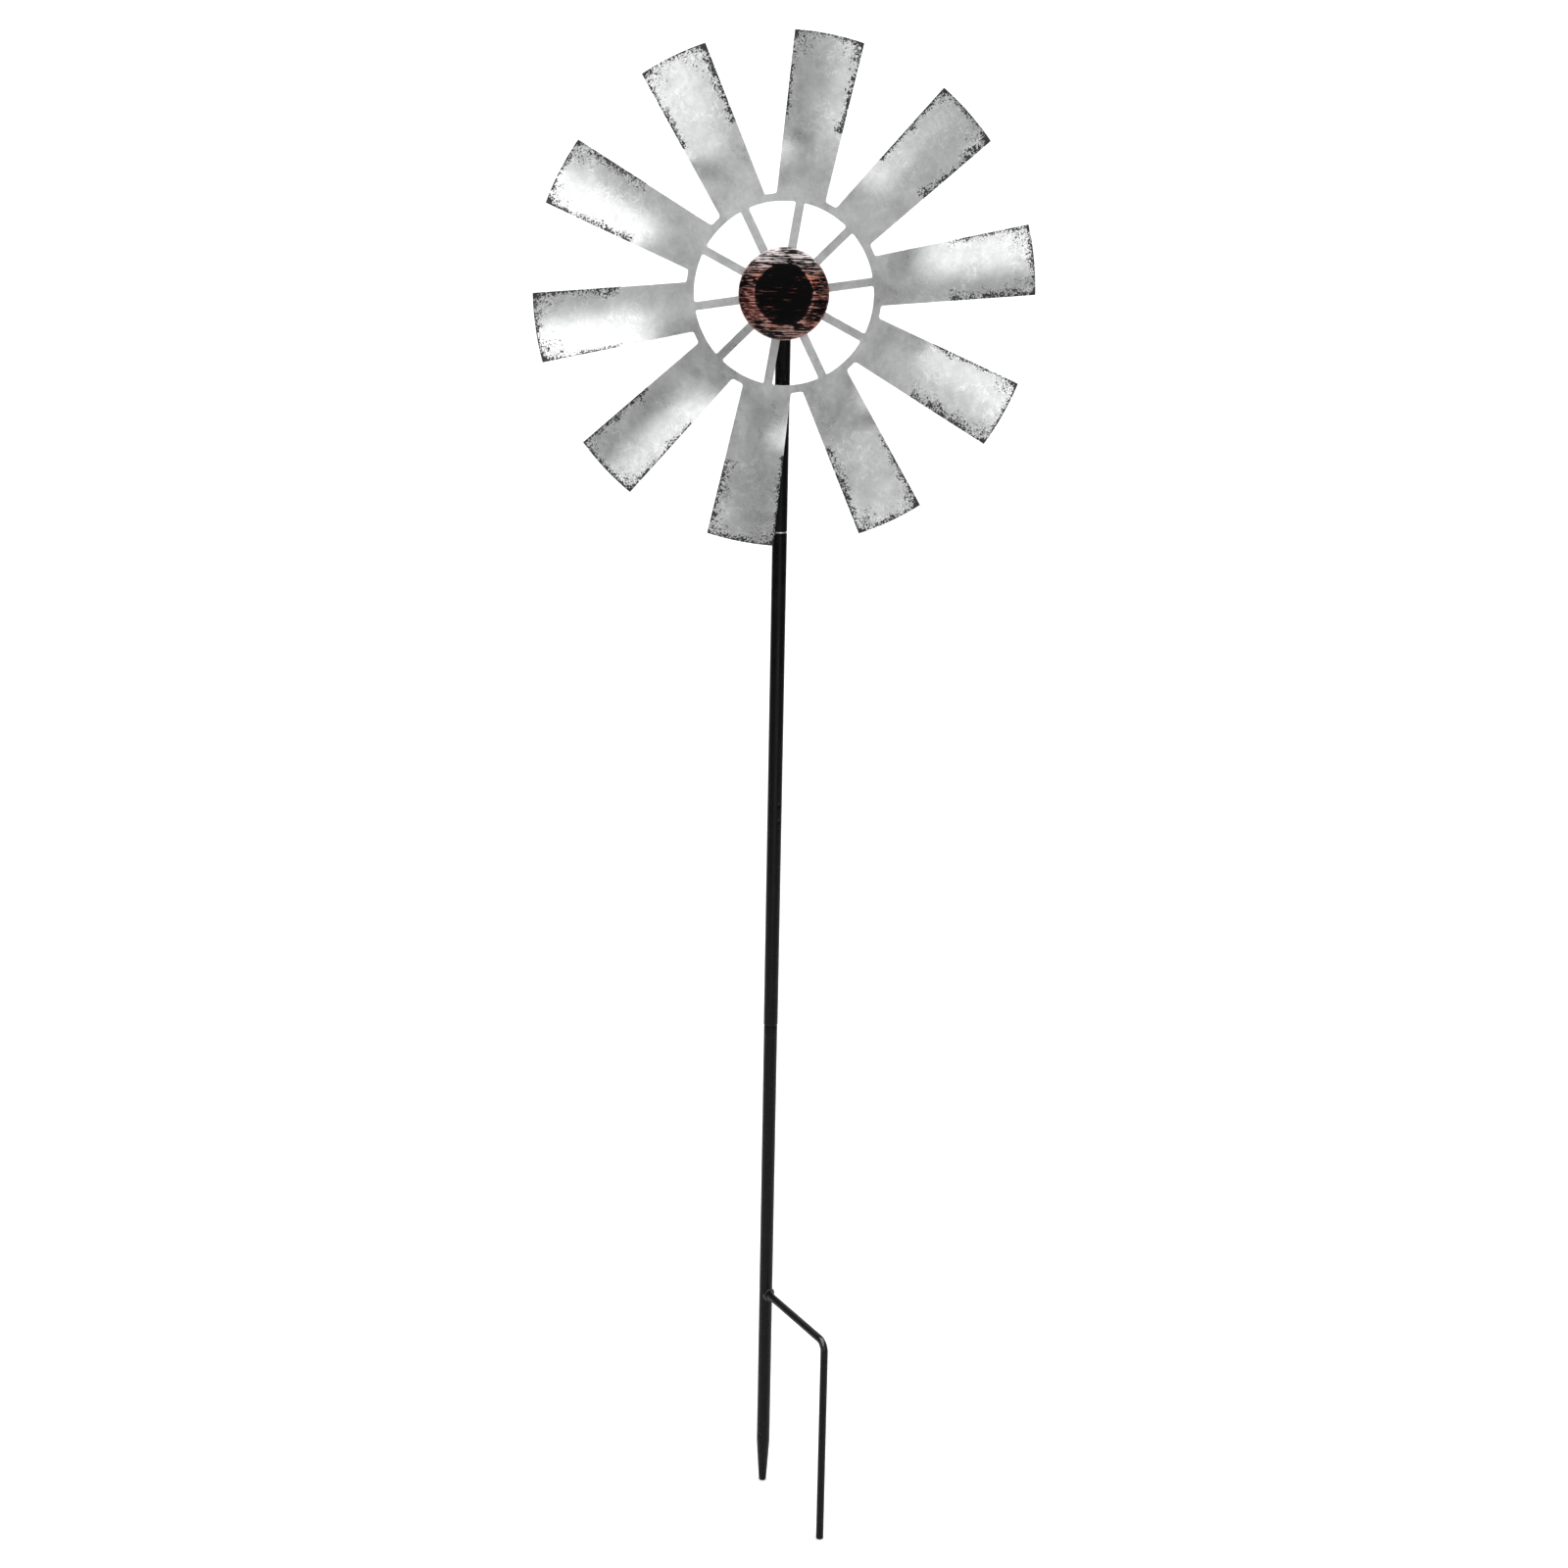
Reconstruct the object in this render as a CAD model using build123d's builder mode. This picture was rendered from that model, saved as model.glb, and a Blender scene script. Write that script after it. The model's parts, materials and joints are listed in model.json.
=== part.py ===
from build123d import *
import math
import os

os.makedirs("parts", exist_ok=True)

# Garden windmill, in millimetres. +Z is up and the wheel faces -Y. The origin is on the pole's
# axis at the ground line, where the step arm of the stake lies on the soil.

# Pole
TUBE_R = 7.5              # middle and upper tubes
GROUND_TUBE_R = 7.15      # the stake's tube is a little thinner
TUBE_BORE_R = 6.0
TIP_Z = -224.0
TIP_R = 4.1               # blunt end of the swaged point
TIP_ROUND = 1.8
TIP_SOLID = 14.0          # length at the point that is pressed shut
TAPER_LENGTH = 48.0
LOWER_JOINT_Z = 305.0     # top of the ground tube
MIDDLE_LENGTH = 518.2
RIM_ROUND = 0.5           # rounded tube mouths
PLUG_DEPTH = 7.0          # plastic plug in the top of the pole
PLUG_CROWN = 2.6
PLUG_LEAD = 1.5
PLUG_LEAD_IN = 0.6
PLUG_LEDGE = 0.2          # how much smaller than the tube the plug's head is

# Dents: place along the tube and turn from straight ahead towards +X in degrees
DIMPLE_R = 2.4
DIMPLE_DEPTH = 0.45
STAKE_DIMPLE = (56.0, -32.0)            # above the stake's point
SPIGOT_DIMPLE = (16.0, 2.0)             # above the middle tube's foot
UPPER_DIMPLES = ((280.0, 42.0), (297.0, 42.0))      # below the middle tube's top

# Spigots that join the tubes
SPIGOT_R = 5.95
SPIGOT_BORE_R = 4.75
SPIGOT_REACH = 60.0       # into each tube
SPIGOT_LEAD = 1.0
LOWER_COLLAR = 1.0
UPPER_COLLAR = 1.3
LOWER_COLLAR_R = 6.6
UPPER_COLLAR_R = 7.1

# Step arm and second prong, one bent rod
PRONG_R = 4.0
ARM_REACH = 131.0         # axis to axis
ARM_TURN = 28.3           # degrees from straight ahead, towards +X
BEND_R = 11.0
LEG_CHAMFER = 0.8
WELD_BACK = 1.5           # the bead runs from here to WELD_REACH along the arm
WELD_REACH = 11.0
WELD_RISE = 3.0           # above the rod

# Wheel
AXLE_Z = 1058.0
AXLE_OVER = 13.0          # tube above the axle
SHEET = 0.9
SHEET_BACK = 37.0         # back of the wheel's sheet, ahead of the pole's axis
TIP_RADIUS = 242.0
RING_INNER = 86.7
RING_OUTER = 94.3
HUB_PLATE_R = 40.0
HUB_HOLE_R = 12.0
BLADES = 10
FIRST_BLADE = 80.7        # degrees from +X, seen from the front
SPOKE = 8.3
SPOKE_OVERLAP = 4.0       # a spoke runs this much into the ring and the hub plate together
ROOT_HALF = 23.8          # half the blade's chord at the ring
TIP_HALF = 33.25          # half the chord at the tip
ROOT_R = 99.0             # the blade is flat up to here
CURL_R = 132.0            # and fully curled from here
END_R = 250.0             # blank length before the tip is trimmed round
LEAN = 10.0               # degrees that the blade's leading side leans forward
ROOT_LEAN = 0.6           # the same where the curl begins
BEND_START = -0.9         # the curl is an arc between these parts of the half chord
BEND_END = 0.6
NOTCH_ROUND = 2.8
WINDOW_ROUND = 1.8

# Hub
BOLT_R = 4.0
BOLT_HOLE_R = 4.1
WASHER = 1.6
WASHER_R = 8.0
HEX_M8 = 13.0             # across flats
HEAD_HEIGHT = 5.3
JAM_HEIGHT = 4.0
LOCK_HEIGHT = 8.0
LOCK_COLLAR = 2.4         # turned part of the lock nut that holds the nylon ring
LOCK_COLLAR_R = 6.1
INSERT = 1.9
INSERT_R = 5.3
BOLT_LENGTH = 55.0
BOLT_LEAD = 1.0
SLEEVE = 2.9
SLEEVE_R = 6.0
FRONT_WASHER_R = 6.5
HOUSING_R = 14.0
HOUSING_LIP = 0.5         # housing behind the rear bearing
SHOULDER_R = 9.5
FLANGE_R = 30.0
FLANGE = 2.0

# Ball bearings, 8 x 22 x 7
RACE_WIDTH = 7.0
RACE_OUTER_R = 11.0
INNER_LAND_R = 6.05
OUTER_LAND_R = 8.95
BALL_CIRCLE_R = 7.5
BALL_R = 1.985
GROOVE_R = 2.06
BALLS = 7
RACE_GAP = 3.0
CAGE_INNER_R = 6.9
CAGE_OUTER_R = 8.1
CAGE_WIDTH = 4.6
SHIELD = 0.4
SHIELD_INSET = 0.25
SHIELD_INNER_R = 6.45

# Hub dome and its studs
DOME_R = 43.75
DOME_HEIGHT = 12.1
DOME_RIDGE_R = 27.5       # where the shallow middle meets the shoulder
DOME_CROWN = 0.9          # how far the middle is crowned
DOME_SHOULDER = (36.5, 8.3)     # radius, and height above the wheel's sheet
DOME_CORNER = (42.3, 4.4)
DOME_LIP = 2.6                  # height of the straight lip
DOME_SHEET = 0.8
STUD_CIRCLE_R = 20.0
STUDS = 3
STUD_R = 2.0
STUD_HOLE_R = 2.25
STUD_END = 29.5
STUD_WASHER = 0.8
STUD_WASHER_R = 4.5
STUD_NUT = 3.2
HEX_M4 = 7.0

# Heights and places that follow from the sizes above
middle_bottom = LOWER_JOINT_Z + LOWER_COLLAR
middle_top = middle_bottom + MIDDLE_LENGTH
upper_bottom = middle_top + UPPER_COLLAR
upper_top = AXLE_Z + AXLE_OVER
jam_back = TUBE_R + WASHER
sleeve_back = jam_back + JAM_HEIGHT
rear_race = sleeve_back + SLEEVE
front_race = rear_race + RACE_WIDTH + RACE_GAP
front_washer_back = front_race + RACE_WIDTH
lock_back = front_washer_back + WASHER
head_front = -TUBE_R - WASHER
sheet_front = SHEET_BACK + SHEET
flange_back = SHEET_BACK - FLANGE
housing_back = rear_race - HOUSING_LIP
dome_front = sheet_front + DOME_HEIGHT

# The wheel's own plane (x right, y up, z forward) and the section through its axis
WHEEL = Plane(origin=(0, 0, AXLE_Z), x_dir=(1, 0, 0), z_dir=(0, -1, 0))
AXLE = Axis((0, 0, AXLE_Z), (0, -1, 0))
AXLE_SECTION = Plane(origin=(0, 0, AXLE_Z), x_dir=(0, -1, 0), z_dir=(-1, 0, 0))

# The upright plane that holds the bent rod (x outwards along the arm, y up)
arm_x = math.sin(math.radians(ARM_TURN))
arm_y = -math.cos(math.radians(ARM_TURN))
ARM_PLANE = Plane(origin=(0, 0, 0), x_dir=(arm_x, arm_y, 0), z_dir=(arm_y, -arm_x, 0))
ARM_AXIS = Axis((0, 0, 0), (arm_x, arm_y, 0))


def turned(points, axis=AXLE, plane=AXLE_SECTION):
    """A turned piece from its half profile."""
    with BuildPart() as piece:
        with BuildSketch(plane):
            with BuildLine():
                Polyline(*points, close=True)
            make_face()
        revolve(axis=axis)
    return piece.part


def ring(back, front, inner, outer):
    """A plain ring round the axle, from back to front."""
    return turned([(back, inner), (front, inner), (front, outer), (back, outer)])


def hexagon(back, front, flats, bore, centres=((0, 0),)):
    """Hexagonal nuts or a bolt head along the axle's direction."""
    with BuildPart() as piece:
        with BuildSketch(WHEEL.offset(back)):
            with Locations(*centres):
                RegularPolygon(flats / 2, 6, major_radius=False)
                if bore:
                    Circle(bore, mode=Mode.SUBTRACT)
        extrude(amount=front - back)
    return piece.part


def dimple(height, turn, tube_r):
    """A shallow round dent, turn degrees from straight ahead towards +X, cut from a tube."""
    reach = tube_r + DIMPLE_R - DIMPLE_DEPTH
    across = reach * math.sin(math.radians(turn))
    ahead = -reach * math.cos(math.radians(turn))
    with Locations((across, ahead, height)):
        Sphere(DIMPLE_R, mode=Mode.SUBTRACT)


def round_mouths(tube, outer_r, ends=(0, -1)):
    """Round the outer edge of a tube's mouths: 0 is the lower mouth and -1 the upper one."""
    circles = tube.edges().filter_by(GeomType.CIRCLE)
    outer = circles.filter_by(lambda edge: abs(edge.radius - outer_r) < 0.01).group_by(Axis.Z)
    fillet([edge for end in ends for edge in outer[end]], radius=RIM_ROUND)


# ---- The stake -----------------------------------------------------------------------------

with BuildPart() as ground_tube:
    taper_top = TIP_Z + TAPER_LENGTH
    with BuildSketch(Plane.XZ) as tube_half:
        with BuildLine():
            Polyline((0, TIP_Z), (TIP_R, TIP_Z), (GROUND_TUBE_R, taper_top), (GROUND_TUBE_R, LOWER_JOINT_Z),
                     (TUBE_BORE_R, LOWER_JOINT_Z), (TUBE_BORE_R, taper_top), (0, TIP_Z + TIP_SOLID),
                     close=True)
        make_face()
        point_edge = tube_half.vertices().group_by(Axis.Y)[0].sort_by(Axis.X)[-1]
        fillet(point_edge, radius=TIP_ROUND)
    revolve(axis=Axis.Z)
    round_mouths(ground_tube, GROUND_TUBE_R, ends=(-1,))
    dimple(TIP_Z + STAKE_DIMPLE[0], STAKE_DIMPLE[1], GROUND_TUBE_R)
ground_tube.part.label = "ground_tube"
export_step(ground_tube.part, "parts/ground_tube.step")

# The rod starts inside the tube and is cut to the tube's curve.
with BuildPart() as ground_prong:
    with BuildLine(ARM_PLANE):
        FilletPolyline((0, 0), (ARM_REACH, 0), (ARM_REACH, TIP_Z), radius=BEND_R)
    with BuildSketch(Plane(origin=(0, 0, 0), z_dir=(arm_x, arm_y, 0))):
        Circle(PRONG_R)
    sweep()
    chamfer(ground_prong.edges().group_by(Axis.Z)[0], length=LEG_CHAMFER)
    with BuildSketch(Plane.XY.offset(-2 * PRONG_R)):
        Circle(GROUND_TUBE_R)
    extrude(amount=4 * PRONG_R, mode=Mode.SUBTRACT)
ground_prong.part.label = "ground_prong"
export_step(ground_prong.part, "parts/ground_prong.step")

with BuildPart() as prong_weld:
    bead_top = PRONG_R + WELD_RISE
    bead_middle = ((WELD_BACK + WELD_REACH) / 2, PRONG_R + 0.82 * WELD_RISE)
    with BuildSketch(ARM_PLANE):
        with BuildLine():
            Polyline((WELD_REACH, PRONG_R), (WELD_BACK, PRONG_R), (WELD_BACK, bead_top))
            ThreePointArc((WELD_BACK, bead_top), bead_middle, (WELD_REACH, PRONG_R))
        make_face()
    revolve(axis=ARM_AXIS)
    with BuildSketch(Plane.XY.offset(-3 * PRONG_R)):
        Circle(GROUND_TUBE_R)
    extrude(amount=6 * PRONG_R, mode=Mode.SUBTRACT)
prong_weld.part.label = "prong_weld"
export_step(prong_weld.part, "parts/prong_weld.step")

# ---- Tubes and spigots ---------------------------------------------------------------------


def spigot(collar_bottom, collar, collar_r):
    """A joining sleeve with a thin stop collar between the two tubes."""
    low = collar_bottom - SPIGOT_REACH
    high = collar_bottom + collar + SPIGOT_REACH
    lead_r = SPIGOT_R - SPIGOT_LEAD / 2
    profile = [
        (SPIGOT_BORE_R, low), (lead_r, low), (SPIGOT_R, low + SPIGOT_LEAD),
        (SPIGOT_R, collar_bottom), (collar_r, collar_bottom),
        (collar_r, collar_bottom + collar), (SPIGOT_R, collar_bottom + collar),
        (SPIGOT_R, high - SPIGOT_LEAD), (lead_r, high), (SPIGOT_BORE_R, high),
    ]
    return turned(profile, axis=Axis.Z, plane=Plane.XZ)


with BuildPart() as lower_spigot:
    add(spigot(LOWER_JOINT_Z, LOWER_COLLAR, LOWER_COLLAR_R))
lower_spigot.part.label = "lower_spigot"
export_step(lower_spigot.part, "parts/lower_spigot.step")

with BuildPart() as middle_tube:
    with BuildSketch(Plane.XY.offset(middle_bottom)):
        Circle(TUBE_R)
        Circle(TUBE_BORE_R, mode=Mode.SUBTRACT)
    extrude(amount=MIDDLE_LENGTH)
    round_mouths(middle_tube, TUBE_R)
    dimple(middle_bottom + SPIGOT_DIMPLE[0], SPIGOT_DIMPLE[1], TUBE_R)
    for drop, dimple_turn in UPPER_DIMPLES:
        dimple(middle_top - drop, dimple_turn, TUBE_R)
middle_tube.part.label = "middle_tube"
export_step(middle_tube.part, "parts/middle_tube.step")

with BuildPart() as upper_spigot:
    add(spigot(middle_top, UPPER_COLLAR, UPPER_COLLAR_R))
upper_spigot.part.label = "upper_spigot"
export_step(upper_spigot.part, "parts/upper_spigot.step")

with BuildPart() as upper_tube:
    with BuildSketch(Plane.XY.offset(upper_bottom)):
        Circle(TUBE_R)
        Circle(TUBE_BORE_R, mode=Mode.SUBTRACT)
    extrude(amount=upper_top - upper_bottom)
    round_mouths(upper_tube, TUBE_R)
    with BuildSketch(WHEEL.offset(-2 * TUBE_R)):
        Circle(BOLT_HOLE_R)
    extrude(amount=4 * TUBE_R, mode=Mode.SUBTRACT)
upper_tube.part.label = "upper_tube"
export_step(upper_tube.part, "parts/upper_tube.step")

with BuildPart() as tube_plug:
    plug_foot = upper_top - PLUG_DEPTH
    plug_rim = (TUBE_R - PLUG_LEDGE, upper_top)
    plug_crown = (0, upper_top + PLUG_CROWN)
    with BuildSketch(Plane.XZ):
        with BuildLine():
            Polyline(plug_crown, (0, plug_foot), (TUBE_BORE_R - PLUG_LEAD_IN, plug_foot),
                     (TUBE_BORE_R, plug_foot + PLUG_LEAD), (TUBE_BORE_R, upper_top), plug_rim)
            TangentArc(plug_crown, plug_rim, tangent=(1, 0))
        make_face()
    revolve(axis=Axis.Z)
tube_plug.part.label = "tube_plug"
export_step(tube_plug.part, "parts/tube_plug.step")

# ---- Axle ----------------------------------------------------------------------------------

with BuildPart() as axle_bolt:
    add(hexagon(head_front - HEAD_HEIGHT, head_front, HEX_M8, 0))
    shank_end = head_front + BOLT_LENGTH
    add(turned([(head_front, 0), (head_front, BOLT_R), (shank_end - BOLT_LEAD, BOLT_R),
                (shank_end, BOLT_R - BOLT_LEAD), (shank_end, 0)]))
axle_bolt.part.label = "axle_bolt"
export_step(axle_bolt.part, "parts/axle_bolt.step")

with BuildPart() as tube_washers:
    add(ring(head_front, -TUBE_R, BOLT_R, WASHER_R))
    add(ring(TUBE_R, jam_back, BOLT_R, WASHER_R))
tube_washers.part.label = "tube_washers"
export_step(tube_washers.part, "parts/tube_washers.step")

with BuildPart() as jam_nut:
    add(hexagon(jam_back, sleeve_back, HEX_M8, BOLT_R))
jam_nut.part.label = "jam_nut"
export_step(jam_nut.part, "parts/jam_nut.step")

with BuildPart() as spacer_sleeve:
    add(ring(sleeve_back, rear_race, BOLT_R, SLEEVE_R))
spacer_sleeve.part.label = "spacer_sleeve"
export_step(spacer_sleeve.part, "parts/spacer_sleeve.step")

with BuildPart() as bearing_spacer:
    add(ring(rear_race + RACE_WIDTH, front_race, BOLT_R, SLEEVE_R))
bearing_spacer.part.label = "bearing_spacer"
export_step(bearing_spacer.part, "parts/bearing_spacer.step")

with BuildPart() as front_washer:
    add(ring(front_washer_back, lock_back, BOLT_R, FRONT_WASHER_R))
front_washer.part.label = "front_washer"
export_step(front_washer.part, "parts/front_washer.step")

# The lock nut: a hexagon with a turned collar that holds a nylon ring.
lock_front = lock_back + LOCK_HEIGHT
collar_back = lock_front - LOCK_COLLAR
with BuildPart() as lock_nut:
    add(hexagon(lock_back, collar_back, HEX_M8, BOLT_R))
    add(ring(collar_back, lock_front, INSERT_R, LOCK_COLLAR_R))
lock_nut.part.label = "lock_nut"
export_step(lock_nut.part, "parts/lock_nut.step")

with BuildPart() as lock_nut_insert:
    add(ring(collar_back, collar_back + INSERT, BOLT_R, INSERT_R))
lock_nut_insert.part.label = "lock_nut_insert"
export_step(lock_nut_insert.part, "parts/lock_nut_insert.step")

# ---- Two ball bearings ---------------------------------------------------------------------


def bearing(place, back):
    """One deep-groove bearing: two races, balls, cage and a pair of shields."""
    middle = back + RACE_WIDTH / 2
    front = back + RACE_WIDTH

    with BuildPart() as inner_race:
        add(ring(back, front, BOLT_R, INNER_LAND_R))
        with Locations(WHEEL.offset(middle)):
            Torus(BALL_CIRCLE_R, GROOVE_R, mode=Mode.SUBTRACT)
    inner_race.part.label = f"{place}_inner_race"
    export_step(inner_race.part, f"parts/{place}_inner_race.step")

    with BuildPart() as outer_race:
        add(ring(back, front, OUTER_LAND_R, RACE_OUTER_R))
        with Locations(WHEEL.offset(middle)):
            Torus(BALL_CIRCLE_R, GROOVE_R, mode=Mode.SUBTRACT)
    outer_race.part.label = f"{place}_outer_race"
    export_step(outer_race.part, f"parts/{place}_outer_race.step")

    with BuildPart() as balls:
        with Locations(WHEEL.offset(middle)):
            with PolarLocations(BALL_CIRCLE_R, BALLS):
                Sphere(BALL_R)
    balls.part.label = f"{place}_balls"
    export_step(balls.part, f"parts/{place}_balls.step")

    with BuildPart() as cage:
        add(ring(middle - CAGE_WIDTH / 2, middle + CAGE_WIDTH / 2, CAGE_INNER_R, CAGE_OUTER_R))
        with Locations(WHEEL.offset(middle)):
            with PolarLocations(BALL_CIRCLE_R, BALLS):
                Cylinder(GROOVE_R, 2 * BALL_R, rotation=(0, 90, 0), mode=Mode.SUBTRACT)
    cage.part.label = f"{place}_cage"
    export_step(cage.part, f"parts/{place}_cage.step")

    with BuildPart() as shields:
        for start in (back + SHIELD_INSET, front - SHIELD_INSET - SHIELD):
            add(ring(start, start + SHIELD, SHIELD_INNER_R, OUTER_LAND_R))
    shields.part.label = f"{place}_shields"
    export_step(shields.part, f"parts/{place}_shields.step")


bearing("rear", rear_race)
bearing("front", front_race)

# ---- Wheel ---------------------------------------------------------------------------------

stud_places = []
for stud in range(STUDS):
    turn = math.radians(90 + stud * 360 / STUDS)
    stud_places.append((STUD_CIRCLE_R * math.cos(turn), STUD_CIRCLE_R * math.sin(turn)))

with BuildPart() as hub_housing:
    add(turned([
        (housing_back, RACE_OUTER_R), (housing_back, HOUSING_R), (flange_back, HOUSING_R),
        (flange_back, FLANGE_R), (SHEET_BACK, FLANGE_R), (SHEET_BACK, RACE_OUTER_R),
        (front_race, RACE_OUTER_R), (front_race, SHOULDER_R), (rear_race + RACE_WIDTH, SHOULDER_R),
        (rear_race + RACE_WIDTH, RACE_OUTER_R),
    ]))
    with BuildSketch(WHEEL.offset(flange_back)):
        with Locations(*stud_places):
            Circle(STUD_HOLE_R)
    extrude(amount=FLANGE, mode=Mode.SUBTRACT)
hub_housing.part.label = "hub_housing"
export_step(hub_housing.part, "parts/hub_housing.step")


def half_chord(radius):
    """Half the blade's width at a distance from the axle; its sides are straight."""
    share = (radius - RING_OUTER) / (TIP_RADIUS - RING_OUTER)
    return ROOT_HALF + (TIP_HALF - ROOT_HALF) * share


def blade_section(turn, radius, lean):
    """The blade cut square to its length: flat, then an arc, then a flat that leans forward."""
    outwards = WHEEL.x_dir * math.cos(math.radians(turn)) + WHEEL.y_dir * math.sin(math.radians(turn))
    across = WHEEL.z_dir.cross(outwards)
    centre = WHEEL.origin + outwards * radius + WHEEL.z_dir * SHEET_BACK
    half = half_chord(radius)
    start, end = BEND_START * half, BEND_END * half
    rise = (end - start) * math.tan(math.radians(lean / 2))
    edge = rise + (half - end) * math.tan(math.radians(lean))
    with BuildSketch(Plane(origin=centre, x_dir=across, z_dir=outwards)) as section:
        with BuildLine():
            for face in (0, SHEET):
                Line((-half, face), (start, face))
                TangentArc((start, face), (end, rise + face), tangent=(1, 0))
                Line((end, rise + face), (half, edge + face))
            Line((-half, 0), (-half, SHEET))
            Line((half, edge), (half, edge + SHEET))
        make_face()
    return section.sketch


def flat_wheel():
    """The flat middle of the sheet: hub plate, spokes, ring and blade roots."""
    root_half = half_chord(ROOT_R)
    with BuildSketch(WHEEL.offset(SHEET_BACK)) as outline:
        Circle(RING_OUTER)
        with PolarLocations(0, BLADES, start_angle=FIRST_BLADE):
            Polygon((RING_INNER, -ROOT_HALF), (ROOT_R, -root_half), (ROOT_R, root_half),
                    (RING_INNER, ROOT_HALF), align=None)
        Circle(RING_INNER, mode=Mode.SUBTRACT)
        Circle(HUB_PLATE_R)
        with PolarLocations((RING_INNER + HUB_PLATE_R) / 2, BLADES, start_angle=FIRST_BLADE):
            Rectangle(RING_INNER - HUB_PLATE_R + SPOKE_OVERLAP, SPOKE)
        # Every corner is rounded but the circles' own start points, which lie at 0 degrees.
        corners = [point for point in outline.vertices() if abs(math.atan2(point.Y, point.X)) > 0.02]
        for rim, rounding in ((RING_OUTER, NOTCH_ROUND), (RING_INNER, WINDOW_ROUND)):
            fillet([point for point in corners if abs(math.hypot(point.X, point.Y) - rim) < 0.02], rounding)
        Circle(HUB_HOLE_R, mode=Mode.SUBTRACT)
        with Locations(*stud_places):
            Circle(STUD_HOLE_R, mode=Mode.SUBTRACT)
    return outline.sketch


with BuildPart() as rotor:
    extrude(flat_wheel(), amount=SHEET)
    for blade in range(BLADES):
        blade_turn = FIRST_BLADE + blade * 360 / BLADES
        stations = ((ROOT_R, ROOT_LEAN), (CURL_R, LEAN), (END_R, LEAN))
        loft([blade_section(blade_turn, radius, lean) for radius, lean in stations], ruled=True)
    with BuildSketch(WHEEL):
        Circle(TIP_RADIUS)
    extrude(amount=2 * SHEET_BACK, mode=Mode.INTERSECT)
rotor.part.label = "rotor"
export_step(rotor.part, "parts/rotor.step")

# The pressed dome: a nearly flat middle, a sloped shoulder and a short turned-down lip.
crown = (dome_front, 0)
ridge = (dome_front - DOME_CROWN, DOME_RIDGE_R)
shoulder = (sheet_front + DOME_SHOULDER[1], DOME_SHOULDER[0])
corner = (sheet_front + DOME_CORNER[1], DOME_CORNER[0])
with BuildPart() as hub_dome:
    with BuildSketch(AXLE_SECTION):
        with BuildLine():
            TangentArc(crown, ridge, tangent=(0, 1))
            ThreePointArc(ridge, shoulder, corner)
            Polyline(corner, (sheet_front + DOME_LIP, DOME_R), (sheet_front, DOME_R),
                     (sheet_front, 0), crown)
        make_face()
    revolve(axis=AXLE)
    offset(amount=-DOME_SHEET, openings=hub_dome.faces().sort_by(Axis.Y)[-1])
hub_dome.part.label = "hub_dome"
export_step(hub_dome.part, "parts/hub_dome.step")

# Each stud runs halfway into the dome's sheet, and the dome is cut from it.
stud_drop = DOME_CROWN * (STUD_CIRCLE_R / DOME_RIDGE_R) ** 2
with BuildPart() as dome_studs:
    with BuildSketch(WHEEL.offset(STUD_END)):
        with Locations(*stud_places):
            Circle(STUD_R)
    extrude(amount=dome_front - stud_drop - DOME_SHEET / 2 - STUD_END)
    add(hub_dome.part, mode=Mode.SUBTRACT)
dome_studs.part.label = "dome_studs"
export_step(dome_studs.part, "parts/dome_studs.step")

with BuildPart() as dome_washers:
    with BuildSketch(WHEEL.offset(flange_back - STUD_WASHER)):
        with Locations(*stud_places):
            Circle(STUD_WASHER_R)
            Circle(STUD_R, mode=Mode.SUBTRACT)
    extrude(amount=STUD_WASHER)
dome_washers.part.label = "dome_washers"
export_step(dome_washers.part, "parts/dome_washers.step")

with BuildPart() as dome_nuts:
    nut_front = flange_back - STUD_WASHER
    add(hexagon(nut_front - STUD_NUT, nut_front, HEX_M4, STUD_R, stud_places))
dome_nuts.part.label = "dome_nuts"
export_step(dome_nuts.part, "parts/dome_nuts.step")
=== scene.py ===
import json
import math
import random

import bpy
import numpy as np
from mathutils import Matrix, Vector, noise
from mathutils.geometry import delaunay_2d_cdt


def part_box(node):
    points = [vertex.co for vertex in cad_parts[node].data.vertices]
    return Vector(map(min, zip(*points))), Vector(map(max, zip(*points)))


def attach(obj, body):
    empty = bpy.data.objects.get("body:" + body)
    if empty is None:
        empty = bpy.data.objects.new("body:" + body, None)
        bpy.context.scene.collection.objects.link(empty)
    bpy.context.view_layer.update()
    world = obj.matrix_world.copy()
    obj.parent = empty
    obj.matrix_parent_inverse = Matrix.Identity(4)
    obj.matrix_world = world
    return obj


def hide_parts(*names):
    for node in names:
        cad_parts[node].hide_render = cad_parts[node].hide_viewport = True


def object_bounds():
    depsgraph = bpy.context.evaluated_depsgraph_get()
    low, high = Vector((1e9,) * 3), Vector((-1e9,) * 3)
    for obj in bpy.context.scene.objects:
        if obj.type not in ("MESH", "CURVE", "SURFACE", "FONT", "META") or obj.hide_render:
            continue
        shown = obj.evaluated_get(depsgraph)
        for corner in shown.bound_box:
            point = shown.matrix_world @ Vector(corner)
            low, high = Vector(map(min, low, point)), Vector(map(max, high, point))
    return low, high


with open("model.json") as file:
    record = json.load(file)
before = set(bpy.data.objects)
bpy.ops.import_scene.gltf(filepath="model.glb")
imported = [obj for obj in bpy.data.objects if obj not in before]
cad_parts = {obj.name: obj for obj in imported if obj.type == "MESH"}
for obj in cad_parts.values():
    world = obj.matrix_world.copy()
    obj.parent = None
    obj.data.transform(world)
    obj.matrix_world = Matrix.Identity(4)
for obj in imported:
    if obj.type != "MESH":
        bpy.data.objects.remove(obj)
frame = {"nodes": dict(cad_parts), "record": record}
cad_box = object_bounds()

MM = 0.001

# ---- Places taken from the frame ---------------------------------------------------------------

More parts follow.
